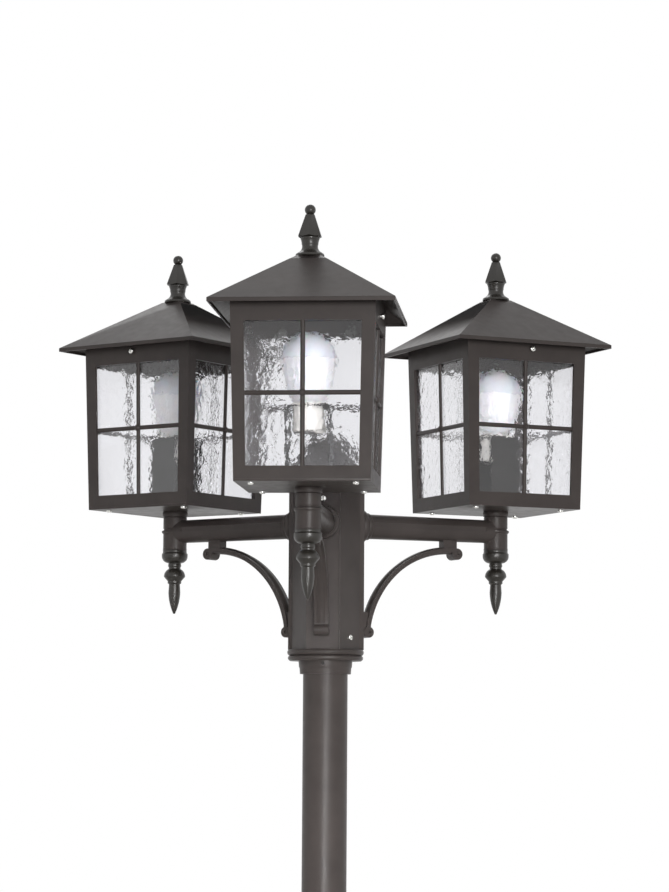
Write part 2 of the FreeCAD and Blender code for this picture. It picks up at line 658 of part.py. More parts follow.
def side_frame():
    """One side of the lantern: rails and stiles round four lights, with mitred ends."""
    over = 4.0
    height = BODY_H - TRAY_T
    wide = HALF_TOP + over
    plate = upright([(-wide, -over), (wide, -over), (wide, height + over), (-wide, height + over)],
                    0, FRAME_T)
    plate = plate.cut(upright(window(), -1, FRAME_T + 1))
    bar_z = MUNTIN_RISE - TRAY_T
    low, high = WINDOW_LOW - TRAY_T - 1, WINDOW_HIGH - TRAY_T + 1
    upright_bar = rod(MUNTIN_R, Vector(0, FRAME_T, low), Vector(0, FRAME_T, high))
    cross_bar = rod(MUNTIN_R, Vector(-WINDOW_HALF_HIGH, FRAME_T, bar_z),
                    Vector(WINDOW_HALF_HIGH, FRAME_T, bar_z))
    boss_foot = Vector(0, FRAME_T - MUNTIN_R, bar_z)
    boss = rod(BOSS_R, Vector(0, FRAME_T, bar_z), boss_foot)
    knob = Part.makeCone(BOSS_R, BOSS_R * 0.45, BOSS_H, boss_foot, -Y)
    behind = box(Vector(-wide, FRAME_T, -over), Vector(wide, FRAME_T + 2 * BOSS_R, height + over))
    bars = fuse([upright_bar, cross_bar, boss, knob]).cut(behind)
    panel = stand_up(plate.fuse(bars))
    reach = 2 * HALF_TOP
    wedge = prism(polygon([(0, -ARM_REACH), (-reach, -ARM_REACH - reach),
                           (reach, -ARM_REACH - reach)], FRAME_FOOT), height)
    return panel.common(wedge)


def tray_screw_spots():
    inset = HALF_BOTTOM - BLOCK_INSET
    return [LANTERN + Vector(sx * inset, sy * inset, UNDERSIDE) for sx in (-1, 1) for sy in (-1, 1)]


def corner_blocks():
    """Blocks that join the sides inside each corner and take the tray's screws."""
    wall = HALF_BOTTOM - FRAME_T - SEAT
    inner = HALF_BOTTOM - BLOCK_INSET - BLOCK_REACH
    block = box(LANTERN + Vector(inner, inner, FRAME_FOOT),
                LANTERN + Vector(wall, wall, FRAME_FOOT + BLOCK_H))
    spot = LANTERN + Vector(1, 1, 0) * (HALF_BOTTOM - BLOCK_INSET)
    block = block.cut(cylinder(SCREW_R + SEAT, FRAME_FOOT - 1, FRAME_FOOT + BLOCK_H + 1, spot))
    return [about_lantern(block, angle) for angle in (0, 90, 180, 270)]


def lantern_frame():
    """Four mitred sides and their corner blocks; two of the sides are drilled for the roof's screws."""
    sides = []
    for angle, way in ((0, 0), (90, -1), (180, 0), (270, 1)):
        side = side_frame()
        if way:
            seat = roof_screw_seat(way)
            side = side.cut(rod(SCREW_R + SEAT, seat - Y * 2, seat + Y * (FRAME_T + 2)))
        sides.append(about_lantern(side.removeSplitter(), angle))
    return Part.makeCompound(sides + corner_blocks())


def glass_panes():
    pane = stand_up(upright(window(GLASS_LAP), FRAME_T, FRAME_T + GLASS_T))
    return Part.makeCompound([about_lantern(pane, angle) for angle in (0, 90, 180, 270)])


def pane_clips():
    """Bent spring strips behind each pane, two at its top edge and one at its foot."""
    clips = []
    top_edge, foot_edge = WINDOW_HIGH - TRAY_T + GLASS_LAP, WINDOW_LOW - TRAY_T - GLASS_LAP
    for across, edge_z, way in ((-CLIP_SPREAD, top_edge, 1), (CLIP_SPREAD, top_edge, 1),
                                (0, foot_edge, -1)):
        back = FRAME_T + GLASS_T
        start = edge_z + way * FIT
        outline = [(FRAME_T, start), (FRAME_T, start + way * CLIP_FOOT),
                   (FRAME_T + CLIP_T, start + way * CLIP_FOOT), (FRAME_T + CLIP_T, start + way * CLIP_T),
                   (back + CLIP_T, start + way * CLIP_T), (back + CLIP_T, edge_z - way * CLIP_TONGUE),
                   (back, edge_z - way * CLIP_TONGUE), (back, start)]
        corners = [Vector(across - CLIP_W / 2, y, z) for y, z in outline]
        strip = Part.Face(Part.makePolygon(corners + corners[:1])).extrude(X * CLIP_W)
        clips += [about_lantern(stand_up(strip), angle) for angle in (0, 90, 180, 270)]
    return Part.makeCompound(clips)


def base_tray():
    plate = tapered(square(HALF_BOTTOM, UNDERSIDE), square(HALF_BOTTOM, FRAME_FOOT))
    for spot in tray_screw_spots():
        plate = plate.cut(cylinder(SCREW_R + SEAT, UNDERSIDE - 1, FRAME_FOOT + 1, spot))
    for spot in bracket_screw_spots():
        plate = plate.cut(cylinder(SCREW_R + SEAT, UNDERSIDE - 1, FRAME_FOOT + 1, spot))
    return plate.cut(cylinder(NIPPLE_R + SEAT, UNDERSIDE - 1, FRAME_FOOT + 1, LANTERN))


def tray_screws():
    return [pan_screw(spot, Z, TRAY_T + BLOCK_H) for spot in tray_screw_spots()]


# ---- roof and its finial ---------------------------------------------------------------------------------------------
def roof_screw_seat(way):
    """Point on the outer face at a roof screw, drawn on the -Y side; way turns its offset."""
    drop = ROOF_SCREW_DROP
    outward = HALF_TOP - drop * (HALF_TOP - HALF_BOTTOM) / (BODY_H - TRAY_T)
    return Vector(way * ROOF_SCREW_OUT, -ARM_REACH - outward - SEAT, FRAME_TOP - drop)


def roof_screws():
    """A screw and its washer on the two sides beside the arm."""
    screws = []
    for angle, way in ((90, -1), (270, 1)):
        seat = roof_screw_seat(way)
        head = seat - Y * ROOF_WASHER_H
        screw = pan_screw(head, Y, ROOF_WASHER_H + FRAME_T + FIT + TAB_T)
        screws.append(about_lantern(fuse([screw, rod(ROOF_WASHER_R, head, seat)]), angle))
    return screws


def roof():
    """Four mitred leaves with a lip, a crown plate, a seat on the frame and two slotted tabs."""
    lip_low = FRAME_TOP - EAVE_LIP
    outside = fuse([prism(square(EAVE_HALF, lip_low), EAVE_LIP),
                    tapered(square(EAVE_HALF, FRAME_TOP), square(ROOF_TOP_HALF, ROOF_TOP))])
    slope = math.atan(ROOF_RISE / (EAVE_HALF - ROOF_TOP_HALF))
    under = ROOF_WALL / math.cos(slope)
    run = (EAVE_HALF - ROOF_TOP_HALF) / ROOF_RISE
    inner_eave = EAVE_HALF - ROOF_WALL
    start = FRAME_TOP + (EAVE_HALF - inner_eave) / run - under
    ceiling = ROOF_TOP - 2 * ROOF_WALL
    ceiling_half = inner_eave - (ceiling - start) * run
    hollow = fuse([prism(square(inner_eave, lip_low - 1), start - lip_low + 1),
                   tapered(square(inner_eave, start), square(ceiling_half, ceiling))])
    shell = outside.cut(hollow)
    crown_space = prism(square(EAVE_HALF, ceiling), 2 * ROOF_WALL + 1)
    crown = shell.common(crown_space).cut(cylinder(STUD_R + SEAT, ceiling - 1, ROOF_TOP + 1, LANTERN))

    lean_in = TAB_DROP * (HALF_TOP - HALF_BOTTOM) / (BODY_H - TRAY_T)
    seat_inner = HALF_TOP - FRAME_T - lean_in - FIT
    seat = prism(square(HALF_TOP, FRAME_TOP), ROOF_RISE).cut(
        prism(square(seat_inner, FRAME_TOP - 1), ROOF_RISE + 2)).common(hollow)
    reach = 2 * EAVE_HALF
    quarter = prism(polygon([(0, -ARM_REACH), (-reach, -ARM_REACH - reach),
                             (reach, -ARM_REACH - reach)], lip_low - 1), ROOF_RISE + EAVE_LIP + 2)
    leaf = shell.cut(crown_space).common(quarter)
    strip = seat.common(quarter)
    pieces = [crown]
    for angle in (0, 90, 180, 270):
        pieces += [about_lantern(leaf, angle), about_lantern(strip, angle)]

    slot_top = FRAME_TOP - ROOF_SCREW_DROP
    slot_r = SCREW_R + FIT
    for angle, way in ((90, -1), (270, 1)):
        middle = way * ROOF_SCREW_OUT
        face = -ARM_REACH - seat_inner
        tab = box(Vector(middle - TAB_W / 2, face, FRAME_TOP - TAB_DROP),
                  Vector(middle + TAB_W / 2, face + TAB_T, FRAME_TOP + FRAME_T))
        slot = box(Vector(middle - slot_r, face - 1, FRAME_TOP - TAB_DROP - 1),
                   Vector(middle + slot_r, face + TAB_T + 1, slot_top))
        crest = rod(slot_r, Vector(middle, face - 1, slot_top), Vector(middle, face + TAB_T + 1, slot_top))
        pieces.append(about_lantern(tab.cut(slot).cut(crest), angle))
    return Part.makeCompound([solid for piece in pieces for solid in piece.Solids])


def roof_finial():
    """Turned neck under a six-sided spire and a ball; a cone trims the spire's foot like a pencil."""
    corner = 1 / math.sin(math.pi / 3)
    spire = tapered(
        ngon(6, FINIAL_CONE_HALF * corner, FINIAL_CONE_Z - 4, LANTERN),
        ngon(6, FINIAL_CONE_TOP_HALF * corner, FINIAL_CONE_TOP_Z, LANTERN))
    flare = Part.makeCone(FINIAL_CORE_R, FINIAL_CORE_R + 2 * FINIAL_CONE_TOP_Z, FINIAL_CONE_TOP_Z,
                          Vector(LANTERN.x, LANTERN.y, FINIAL_CONE_Z - 4), Z)
    spire = spire.common(flare)
    neck = turned([
        (0, 0), (FINIAL_FLANGE_R - 0.6, 0), (FINIAL_FLANGE_R, 1.0), (FINIAL_FLANGE_R - 0.6, 3.4),
        (FINIAL_FLANGE_R - 2.2, FINIAL_FLANGE_H), (FINIAL_FLANGE_R - 3.4, FINIAL_FLANGE_H + 1.0),
        (FINIAL_NECK_R, FINIAL_NECK_Z, 2.4), (FINIAL_CORE_R, FINIAL_CORE_Z, 0.4),
        (FINIAL_CORE_R, FINIAL_CONE_Z), (0, FINIAL_CONE_Z)],
        LANTERN)
    ball = Part.makeSphere(FINIAL_BALL_R, Vector(LANTERN.x, LANTERN.y, FINIAL_BALL_Z))
    stud = cylinder(STUD_R, -STUD_LENGTH - ROOF_WALL, 1, LANTERN)
    finial = fuse([neck, spire, ball, stud])
    finial.translate(Vector(0, 0, ROOF_TOP))
    return finial


def finial_nut():
    top = ROOF_TOP - 2 * ROOF_WALL
    return hex_nut(FINIAL_NUT_R, STUD_R + SEAT, top - FINIAL_NUT_H, FINIAL_NUT_H, LANTERN)


# ---- lamp inside ---------------------------------------------------------------------------------------------------------
def bracket_screw_spots():
    out = BRACKET_HALF - BRACKET_FOOT / 2
    return [LANTERN + Vector(sign * out, 0, FRAME_FOOT + BRACKET_T) for sign in (-1, 1)]


def lamp_bracket():
    """Strip bent to a bridge: feet turned in, two legs and a top plate with the holder's hole."""
    low, top = FRAME_FOOT, UNDERSIDE + BRACKET_TOP
    half, foot = BRACKET_HALF, BRACKET_HALF - BRACKET_FOOT
    t = BRACKET_T
    outline = [(-half, low), (-foot, low), (-foot, low + t), (-half + t, low + t),
               (-half + t, top - t), (half - t, top - t), (half - t, low + t), (foot, low + t),
               (foot, low), (half, low), (half, top), (-half, top)]
    corners = [Vector(x, -ARM_REACH - BRACKET_W / 2, z) for x, z in outline]
    strip = Part.Face(Part.makePolygon(corners + corners[:1])).extrude(Y * BRACKET_W)
    strip = strip.cut(cylinder(HOLDER_R + SEAT, top - 2 * t, top + 1, LANTERN))
    for spot in bracket_screw_spots():
        strip = strip.cut(cylinder(SCREW_R + SEAT, low - 1, low + 2 * t, spot))
    return strip


def bracket_screws():
    return [pan_screw(spot, -Z, BRACKET_T + TRAY_T) for spot in bracket_screw_spots()]


def lamp_holder():
    top = UNDERSIDE + BRACKET_TOP
    low = UNDERSIDE + HOLDER_LOW
    cap_low = UNDERSIDE + BULB_FOOT_Z - 6 - CAP_LENGTH
    body = turned([
        (0, low), (HOLDER_R - 2, low), (HOLDER_R, low + 2), (HOLDER_R, top),
        (HOLDER_FLANGE_R, top), (HOLDER_FLANGE_R, top + HOLDER_FLANGE_H), (0, top + HOLDER_FLANGE_H)],
        LANTERN)
    bore = cylinder(CAP_R + FIT, cap_low - FIT, top + HOLDER_FLANGE_H + 1, LANTERN)
    return body.cut(bore)


def bulb_body():
    """Screw cap, rounded foot and tapered housing up to the dome's seam."""
    foot = BULB_FOOT_Z
    neck = foot - 6
    return turned([
        (0, neck - CAP_LENGTH), (CAP_R - 5, neck - CAP_LENGTH), (CAP_R, neck - CAP_LENGTH + 4),
        (CAP_R, neck), (BULB_NECK_R, neck + 1), (BULB_FOOT_R, foot + 4),
        (BULB_R - 0.3, BULB_SEAM), (0, BULB_SEAM)], LANTERN, UNDERSIDE)


def bulb_dome():
    centre = Vector(LANTERN.x, LANTERN.y, UNDERSIDE + BULB_SEAM)
    return Part.makeSphere(BULB_R, centre, Z, 0, 90, 360)


# ---- put together and write ------------------------------------------------------------------------------------------------
def export(node, shape):
    shape.exportStep(os.path.join("parts", node + ".step"))
    print(node, len(shape.Solids), "solid(s)", "valid" if shape.isValid() else "NOT VALID")


def turn_about_post(shape, angle):
    copy = shape.copy()
    copy.rotate(Vector(0, 0, 0), Z, angle)
    return copy


def main():
    os.makedirs("parts", exist_ok=True)
    shared = {
        "post_tube": post_tube(),
        "post_base": post_base(),
        "base_set_screws": set_screws(POST_R + SEAT, BASE_NECK_R + 1, BASE_SET_Z),
        "collar": collar(),
        "collar_set_screws": set_screws(POST_R + SEAT, COLLAR_SLEEVE_R + 1, collar_set_z()),
        "column": column(),
        "column_cap": column_cap(),
        "column_screws": column_screws(),
        "terminal_block": terminal_block(),
        "arm_nuts": Part.makeCompound(around(arm_nut())),
        "stem_nipples": Part.makeCompound(around(stem_nipple())),
        "stem_nuts": Part.makeCompound(around(stem_nut())),
    }
    for name, pieces in (("tray_screws", tray_screws()), ("roof_screws", roof_screws()),
                         ("bracket_screws", bracket_screws())):
        shared[name] = Part.makeCompound([copy for piece in pieces for copy in around(piece)])
    for node, shape in shared.items():
        export(node, shape)

    per_arm = {
        "arm": arm(), "arm_rosette": arm_rosette(), "scroll_bracket": scroll_bracket(),
        "drop_finial": drop_finial(), "base_tray": base_tray(), "lantern_frame": lantern_frame(),
        "glass_panes": glass_panes(), "pane_clips": pane_clips(), "lamp_bracket": lamp_bracket(),
        "lamp_holder": lamp_holder(), "bulb_body": bulb_body(), "bulb_dome": bulb_dome(),
        "roof": roof(), "roof_finial": roof_finial(), "finial_nut": finial_nut(),
    }
    for arm_name, angle in ARM_NAMES.items():
        for node, shape in per_arm.items():
            export(arm_name + "_" + node, turn_about_post(shape, angle))


main()
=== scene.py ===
"""Dresses the triple-head garden lamp post: coated castings, rippled glass, lamps and screws."""
import math

import bmesh
import bpy
from bpy.props import FloatProperty, IntProperty, PointerProperty, StringProperty
from mathutils import Matrix, Vector


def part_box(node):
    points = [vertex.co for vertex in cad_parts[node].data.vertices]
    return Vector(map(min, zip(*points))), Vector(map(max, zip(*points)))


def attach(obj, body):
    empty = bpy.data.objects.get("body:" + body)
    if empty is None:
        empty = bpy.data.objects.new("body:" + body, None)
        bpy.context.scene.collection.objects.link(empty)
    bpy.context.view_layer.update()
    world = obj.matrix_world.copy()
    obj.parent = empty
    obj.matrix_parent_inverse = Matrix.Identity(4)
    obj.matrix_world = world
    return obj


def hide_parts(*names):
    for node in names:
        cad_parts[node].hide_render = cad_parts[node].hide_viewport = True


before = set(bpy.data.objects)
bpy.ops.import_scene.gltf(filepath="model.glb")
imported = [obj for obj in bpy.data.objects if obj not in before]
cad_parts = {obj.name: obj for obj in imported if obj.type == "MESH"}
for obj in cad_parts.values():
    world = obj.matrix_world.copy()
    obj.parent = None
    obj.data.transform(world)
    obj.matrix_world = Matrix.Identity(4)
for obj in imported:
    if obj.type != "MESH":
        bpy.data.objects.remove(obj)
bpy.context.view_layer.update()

bl_info = {
    "name": "Garden Lamp Post",
    "version": (1, 0, 0),
    "blender": (4, 5, 0),
    "location": "3D View > Sidebar > Lamp Post",
    "description": "Finishes a three-lantern lamp post: castings, water glass, lamps and fasteners",
    "category": "Object",
}

MM = 0.001
WELD = 0.004 * MM          # corners this near are one corner of the CAD mesh
ARMS = {"front": 0, "right": 120, "left": 240}      # turn of each arm about the post, degrees

# ---- sizes that the lanterns share with the frame, in millimetres -------------------------------
FRAME_T = 4.0              # thickness of a lantern's sides
GLASS_T = 3.0
GLASS_HALF_LOW = 75.8      # half width of a pane at its foot and at its top
GLASS_HALF_HIGH = 78.7
HALF_BOTTOM = 85.6         # lantern axis to the outer face at the sides' foot
HALF_TOP = 91.1
SIDE_HEIGHT = 222.5
WINDOW_LOW = 16.1          # foot of the sides up to the glass opening
WINDOW_HIGH = 197.1
GLASS_LAP = 5.0            # glass behind the opening's edge

# ---- edges --------------------------------------------------------------------------------------
SHARP_EDGE = math.radians(30)       # an edge turning more than this is shaded sharp
ROUNDED_EDGE = math.radians(38)     # and one turning more than this is rounded
FLAT_TURN = math.radians(0.6)       # faces turning less than this are one face
ROUND_STEPS = 2

# ---- screws, in millimetres ---------------------------------------------------------------------
SCREW_HEAD_R = 4.0
SCREW_HEAD_HIGH = 3.0
SCREW_SHANK_R = 2.0

# ---- bulbs, in millimetres ----------------------------------------------------------------------
CAP_HIGH = 27.0            # screw cap, foot to housing
CAP_R = 13.0
CAP_ROOT_R = 12.2          # bottom of its thread
CAP_FOOT_R = 8.0
THREAD_TURNS = 6
THREAD_PITCH = 3.2
HOUSING_FOOT_R = 26.0
FLUTE_DEPTH = 1.3
HOUSING_STEPS = 10
DOME_STEPS = 16

# ---- floor, in metres ---------------------------------------------------------------------------
FLOOR_HALF = 3.0

# ---- camera at the photograph's viewing angle ---------------------------------------------------
CAMERA_PLACE = Vector((0.3648, -4.0596, 1.4895))
CAMERA_YAW = math.radians(4.99)
CAMERA_PITCH = math.radians(5.85)
CAMERA_ROLL = math.radians(0.36)
CAMERA_LENS = 122.4


class LampSizes(bpy.types.PropertyGroup):
    """Sizes that the finish adds to the frame."""
    edge_round: FloatProperty(
        name="Edge rounding", description="Radius of the castings' edges", default=0.5 * MM,
        min=0.0, max=2 * MM, unit="LENGTH")
    coat_grain: FloatProperty(
        name="Coat grain", description="Spacing of the powder coat's orange peel", default=1.6 * MM,
        min=0.2 * MM, max=5 * MM, unit="LENGTH")
    ripple_size: FloatProperty(
        name="Ripple size", description="Distance between the water glass's ripples",
        default=7.0 * MM, min=4 * MM, max=60 * MM, unit="LENGTH")
    ripple_depth: FloatProperty(
        name="Ripple depth", description="How far the ripples cut into the glass",
        default=0.7 * MM, min=0.0, max=1.4 * MM, unit="LENGTH")
    glass_step: FloatProperty(
        name="Glass mesh step", description="Spacing of the glass's mesh lines", default=1.7 * MM,
        min=0.5 * MM, max=10 * MM, unit="LENGTH")
    flutes: IntProperty(
        name="Bulb flutes", description="Cooling flutes round a bulb's housing", default=20,
        min=0, max=60)


class LampColours(bpy.types.PropertyGroup):
    """Colours of the finishes, as sRGB hex values."""
    coat: StringProperty(name="Coat", description="Powder coat of the castings", default="#47413F")
    cast: StringProperty(name="Finial coat", description="Coat of the finials", default="#2B2824")
    steel: StringProperty(name="Screws", description="Bright stainless steel", default="#E2E2DF")
    dark_steel: StringProperty(name="Dark steel", description="Blackened screws", default="#2A2827")
    glass: StringProperty(name="Glass", description="Tint of the water glass", default="#F3F3F5")
    porcelain: StringProperty(name="Porcelain", description="Lamp holders", default="#ECE9E2")
    housing: StringProperty(name="Bulb housing", description="White plastic", default="#F4F4F6")
    dome: StringProperty(name="Bulb dome", description="Frosted cover", default="#E2E6EC")
    floor: StringProperty(name="Floor", description="Pale studio floor", default="#ECEAE6")


def sizes():
    return bpy.context.scene.lamp_sizes


def colours():
    return bpy.context.scene.lamp_colours


# ---- materials ----------------------------------------------------------------------------------
def linear(code):
    """A scene-linear colour from an sRGB hex value."""
    channels = [int(code[i:i + 2], 16) / 255 for i in (1, 3, 5)]
    return tuple(c / 12.92 if c <= 0.04045 else ((c + 0.055) / 1.055) ** 2.4
                 for c in channels) + (1.0,)


def add(tree, kind, inputs=None, **settings):
    """Add a node; inputs gives values or sockets to link, by name or number."""
    made = tree.nodes.new(kind)
    for name, value in settings.items():
        setattr(made, name, value)
    for name, value in (inputs or {}).items():
        socket = made.inputs[name]
        if isinstance(value, bpy.types.NodeSocket):
            tree.links.new(value, socket)
        else:
            socket.default_value = value
    return made


def start_material(name):
    found = bpy.data.materials.get(name)
    if found:
        return found, None
    made = bpy.data.materials.new(name)
    made.use_nodes = True
    made.node_tree.nodes.clear()
    return made, made.node_tree


def finish_shader(tree, shader):
    add(tree, "ShaderNodeOutputMaterial", {"Surface": shader.outputs[0]})


def patches(tree, spacing, low, high, detail=3.0):
    """A slow variation between two values over the object's own coordinates."""
    place = add(tree, "ShaderNodeTexCoord")
    noise = add(tree, "ShaderNodeTexNoise", {"Vector": place.outputs["Object"],
                                             "Scale": 1 / spacing, "Detail": detail})
    return add(tree, "ShaderNodeMapRange", {"Value": noise.outputs["Fac"], "From Min": 0.3,
                                            "From Max": 0.7, "To Min": low, "To Max": high})


def shade_by(tree, colour, value):
    """A colour made lighter or darker by a value near one."""
    return add(tree, "ShaderNodeHueSaturation", {"Color": colour, "Value": value})


def grain(tree, spacing, strength, distance, detail=2.0):
    """Bump from fine noise, spacing and height in metres."""
    place = add(tree, "ShaderNodeTexCoord")
    noise = add(tree, "ShaderNodeTexNoise", {"Vector": place.outputs["Object"],
                                             "Scale": 1 / spacing, "Detail": detail})
    return add(tree, "ShaderNodeBump", {"Height": noise.outputs["Fac"], "Strength": strength,
                                        "Distance": distance})


def powder_coat():
    """Polyester powder coat on cast aluminium: baked, so satin with a faint orange peel."""
    made, tree = start_material("powder_coated_aluminium")
    if tree:
        tone = patches(tree, 0.035, 0.9, 1.1)
        colour = shade_by(tree, linear(colours().coat), tone.outputs[0])
        rough = patches(tree, 0.012, 0.34, 0.42)
        peel = grain(tree, sizes().coat_grain, 0.28, 0.1 * MM)
        shader = add(tree, "ShaderNodeBsdfPrincipled", {
            "Base Color": colour.outputs[0], "Roughness": rough.outputs[0], "Metallic": 0.0,
            "IOR": 1.5, "Specular IOR Level": 0.2, "Normal": peel.outputs[0]})
        finish_shader(tree, shader)
    return made


def cast_coat():
    """The same coat on sand-cast finials: the rougher casting shows through as soft dimples."""
    made, tree = start_material("powder_coated_sand_casting")
    if tree:
        tone = patches(tree, 0.008, 0.86, 1.14)
        colour = shade_by(tree, linear(colours().cast), tone.outputs[0])
        rough = patches(tree, 0.006, 0.28, 0.38)
        dimples = grain(tree, 1.1 * MM, 0.35, 0.16 * MM, 3.0)
        shader = add(tree, "ShaderNodeBsdfPrincipled", {
            "Base Color": colour.outputs[0], "Roughness": rough.outputs[0], "Metallic": 0.0,
            "IOR": 1.5, "Specular IOR Level": 0.5, "Normal": dimples.outputs[0]})
        finish_shader(tree, shader)
    return made


def bright_steel():
    """Stainless steel, machined: bright, with fine turning marks that soften its highlights."""
    made, tree = start_material("stainless_steel")
    if tree:
        rough = patches(tree, 0.002, 0.16, 0.30)
        marks = grain(tree, 0.5 * MM, 0.12, 0.03 * MM)
        shader = add(tree, "ShaderNodeBsdfPrincipled", {
            "Base Color": linear(colours().steel), "Roughness": rough.outputs[0],
            "Metallic": 1.0, "Normal": marks.outputs[0]})
        finish_shader(tree, shader)
    return made


def spring_steel():
    """Rolled spring strip: grey, with rolling lines along it."""
    made, tree = start_material("rolled_spring_steel")
    if tree:
        tone = patches(tree, 0.004, 0.85, 1.1)
        colour = shade_by(tree, linear("#7F7F7C"), tone.outputs[0])
        shader = add(tree, "ShaderNodeBsdfPrincipled", {
            "Base Color": colour.outputs[0], "Roughness": 0.38, "Metallic": 1.0,
            "Normal": grain(tree, 0.6 * MM, 0.1, 0.03 * MM).outputs[0]})
        finish_shader(tree, shader)
    return made


def dark_steel():
    """Blackened steel: a thin oxide, dull and a little uneven."""
    made, tree = start_material("blackened_steel")
    if tree:
        tone = patches(tree, 0.006, 0.8, 1.2)
        colour = shade_by(tree, linear(colours().dark_steel), tone.outputs[0])
        shader = add(tree, "ShaderNodeBsdfPrincipled", {
            "Base Color": colour.outputs[0], "Roughness": 0.42, "Metallic": 0.6,
            "Normal": grain(tree, 0.8 * MM, 0.12, 0.04 * MM).outputs[0]})
        finish_shader(tree, shader)
    return made


def water_glass():
    """Rolled soda-lime sheet with a rippled face: clear and smooth, all its look is refraction."""
    made, tree = start_material("rippled_soda_lime_glass")
    if tree:
        fine = grain(tree, 3.4 * MM, 0.5, 0.45 * MM, 1.0)
        bend = add(tree, "ShaderNodeBsdfPrincipled", {
            "Base Color": linear(colours().glass), "Roughness": 0.0, "IOR": 1.5,
            "Transmission Weight": 1.0, "Normal": fine.outputs[0]})
        # the studio lamps shine through the glass on to the bulb
        clear = add(tree, "ShaderNodeBsdfTransparent", {"Color": linear(colours().glass)})
        path = add(tree, "ShaderNodeLightPath")
        finish_shader(tree, add(tree, "ShaderNodeMixShader", {
            0: path.outputs["Is Shadow Ray"], 1: bend.outputs[0], 2: clear.outputs[0]}))
    return made


def porcelain():
    """Glazed lamp-holder porcelain: a white body under a clear, hard glaze."""
    made, tree = start_material("glazed_porcelain")
    if tree:
        tone = patches(tree, 0.01, 0.96, 1.03)
        colour = shade_by(tree, linear(colours().porcelain), tone.outputs[0])
        shader = add(tree, "ShaderNodeBsdfPrincipled", {
            "Base Color": colour.outputs[0], "Roughness": 0.18, "Coat Weight": 0.4,
            "Normal": grain(tree, 2 * MM, 0.06, 0.05 * MM).outputs[0]})
        finish_shader(tree, shader)
    return made


def bulb_housing():
    """Moulded polycarbonate housing: white, faintly translucent and semi-gloss."""
    made, tree = start_material("moulded_white_polycarbonate")
    if tree:
        tone = patches(tree, 0.015, 0.97, 1.02)
        colour = shade_by(tree, linear(colours().housing), tone.outputs[0])
        shader = add(tree, "ShaderNodeBsdfPrincipled", {
            "Base Color": colour.outputs[0], "Roughness": 0.32, "IOR": 1.58,
            "Subsurface Weight": 0.15, "Subsurface Scale": 2 * MM,
            "Normal": grain(tree, 1 * MM, 0.05, 0.03 * MM).outputs[0]})
        finish_shader(tree, shader)
    return made


def bulb_cover():
    """Frosted polycarbonate dome: a blasted inside that greys it when the lamp is off."""
    made, tree = start_material("frosted_polycarbonate")
    if tree:
        tone = patches(tree, 0.02, 0.96, 1.03)
        colour = shade_by(tree, linear(colours().dome), tone.outputs[0])
        shader = add(tree, "ShaderNodeBsdfPrincipled", {
            "Base Color": colour.outputs[0], "Roughness": 0.24, "IOR": 1.58,
            "Subsurface Weight": 0.4, "Subsurface Scale": 4 * MM,
            "Normal": grain(tree, 0.7 * MM, 0.04, 0.03 * MM).outputs[0]})
        finish_shader(tree, shader)
    return made


# ---- mesh tools ---------------------------------------------------------------------------------
def keep_mesh(mesh, name, material, body, nodes=(), sharp=SHARP_EDGE):
    """Make a mesh a finished piece that rides on a body and stands for CAD nodes."""
    mesh.materials.clear()
    mesh.materials.append(material)
    mesh.shade_smooth()
    mesh.set_sharp_from_angle(angle=sharp)
    piece = bpy.data.objects.new(name, mesh)
    bpy.context.scene.collection.objects.link(piece)
    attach(piece, body)
    if nodes:
        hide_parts(*nodes)
    return piece


def applied(piece):
    """The mesh of an object with its modifiers worked out; the object itself is removed."""
    graph = bpy.context.evaluated_depsgraph_get()
    mesh = bpy.data.meshes.new_from_object(piece.evaluated_get(graph))
    spare = piece.data
    bpy.data.objects.remove(piece)
    bpy.data.meshes.remove(spare)
    return mesh


def merged_copy(node):
    """A copy of a CAD node's mesh, its loose triangles welded and joined into flat faces.

    Where solids meet on the same corners, as at the mitres of a roof or a lantern's sides, the
    weld leaves one face between them inside the piece.
    """
    made = bmesh.new()
    made.from_mesh(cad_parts[node].data)
    bmesh.ops.remove_doubles(made, verts=made.verts, dist=WELD)
    bmesh.ops.dissolve_limit(made, angle_limit=FLAT_TURN, verts=made.verts,
                             edges=made.edges, use_dissolve_boundaries=False)
    mesh = bpy.data.meshes.new(node + "_copy")
    made.to_mesh(mesh)
    made.free()
    return mesh


def rounded(node, width=None):
    """A copy of a CAD node's mesh with its edges rounded and its flat faces shaded flat."""
    piece = bpy.data.objects.new(node + "_soft", merged_copy(node))
    bpy.context.scene.collection.objects.link(piece)
    rounding = piece.modifiers.new("edges", "BEVEL")
    rounding.width = sizes().edge_round if width is None else width
    rounding.segments = ROUND_STEPS
    rounding.limit_method = "ANGLE"
    rounding.angle_limit = ROUNDED_EDGE
    rounding.use_clamp_overlap = True
    mesh = applied(piece)
    mesh.shade_smooth()
    mesh.set_sharp_from_angle(angle=SHARP_EDGE)
    piece = bpy.data.objects.new(node + "_flat", mesh)
    bpy.context.scene.collection.objects.link(piece)
    piece.modifiers.new("flat_faces", "WEIGHTED_NORMAL").keep_sharp = True
    return applied(piece)


def softened(node, material, width=None):
    """Stand a rounded copy of a shared CAD node in its place."""
    keep_mesh(rounded(node, width), node + "_finish", material, "root", [node])


def softened_arms(part, material, carrier="", width=None):
    """Stand rounded copies of a part in its place on each arm, all turned from the front one.

    The copies ride on each arm's carrier, the last part of a body's name, or on the post.
    """
    front = rounded("front_" + part, width)
    for arm, degrees in ARMS.items():
        mesh = front.copy()
        mesh.transform(Matrix.Rotation(math.radians(degrees), 4, "Z"))
        keep_mesh(mesh, f"{arm}_{part}_finish", material, f"{arm}_{carrier}" if carrier else "root",
                  [f"{arm}_{part}"])
    bpy.data.meshes.remove(front)


